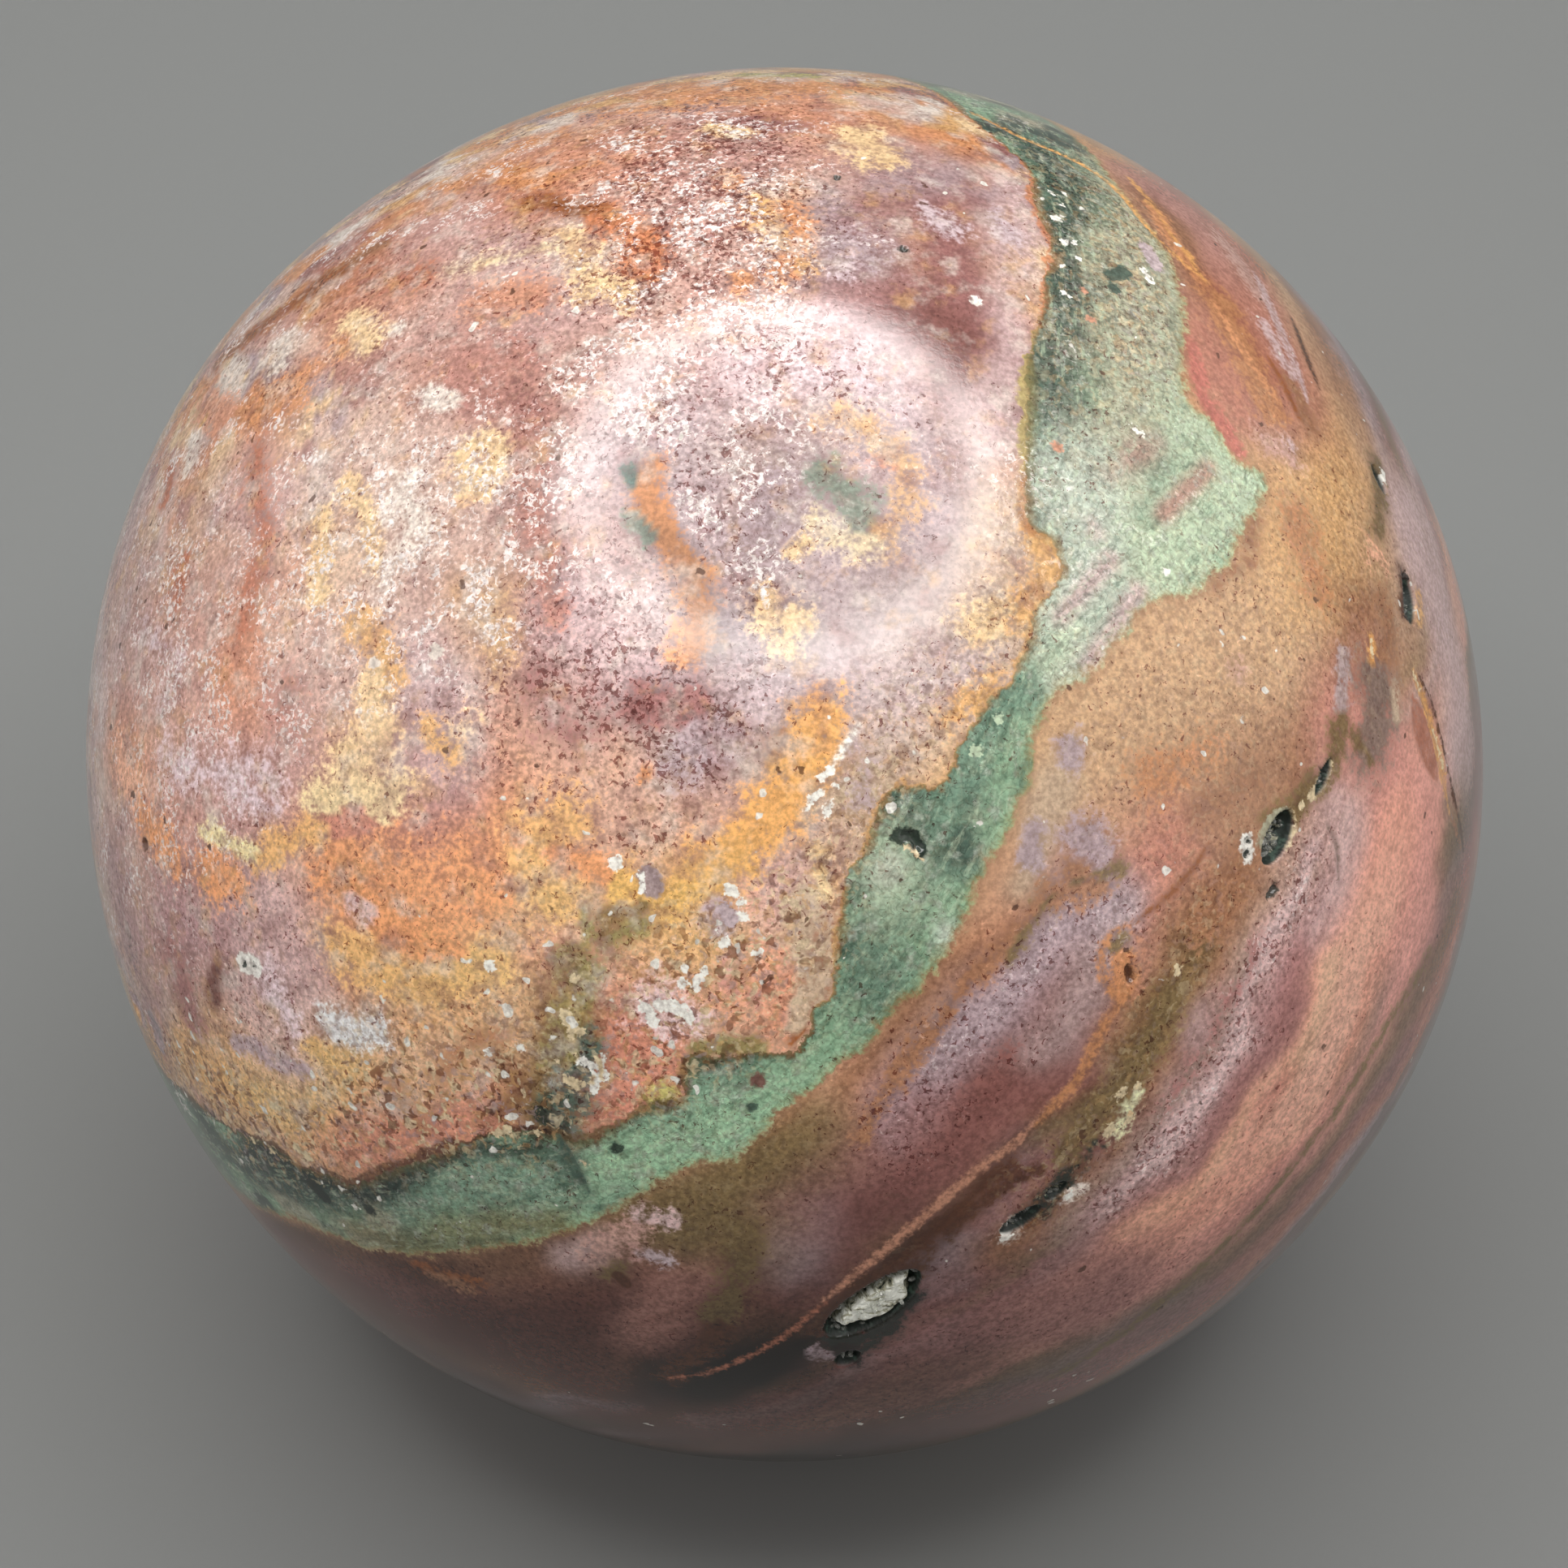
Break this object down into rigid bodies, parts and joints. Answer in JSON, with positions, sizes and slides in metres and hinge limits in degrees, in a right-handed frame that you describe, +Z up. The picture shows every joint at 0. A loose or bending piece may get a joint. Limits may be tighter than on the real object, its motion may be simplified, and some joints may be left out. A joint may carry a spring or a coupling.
{
  "type": "ocean jasper sphere",
  "caption": "Polished ball of ocean jasper with a small flat ground on its underside to rest on and shallow quartz-lined vugs open at its skin.",
  "frame": {"origin": "middle of the flat that the ball rests on", "axes": "+Z up through the ball's middle, -Y towards the side that shows the green ribbon, +X to the right of that side"},
  "size_m": [0.0802, 0.08, 0.0792],
  "materials": {
    "polished_jasper": "polished"
  },
  "bodies": {
    "root": {"jasper_sphere": "polished_jasper"}
  },
  "joints": []
}
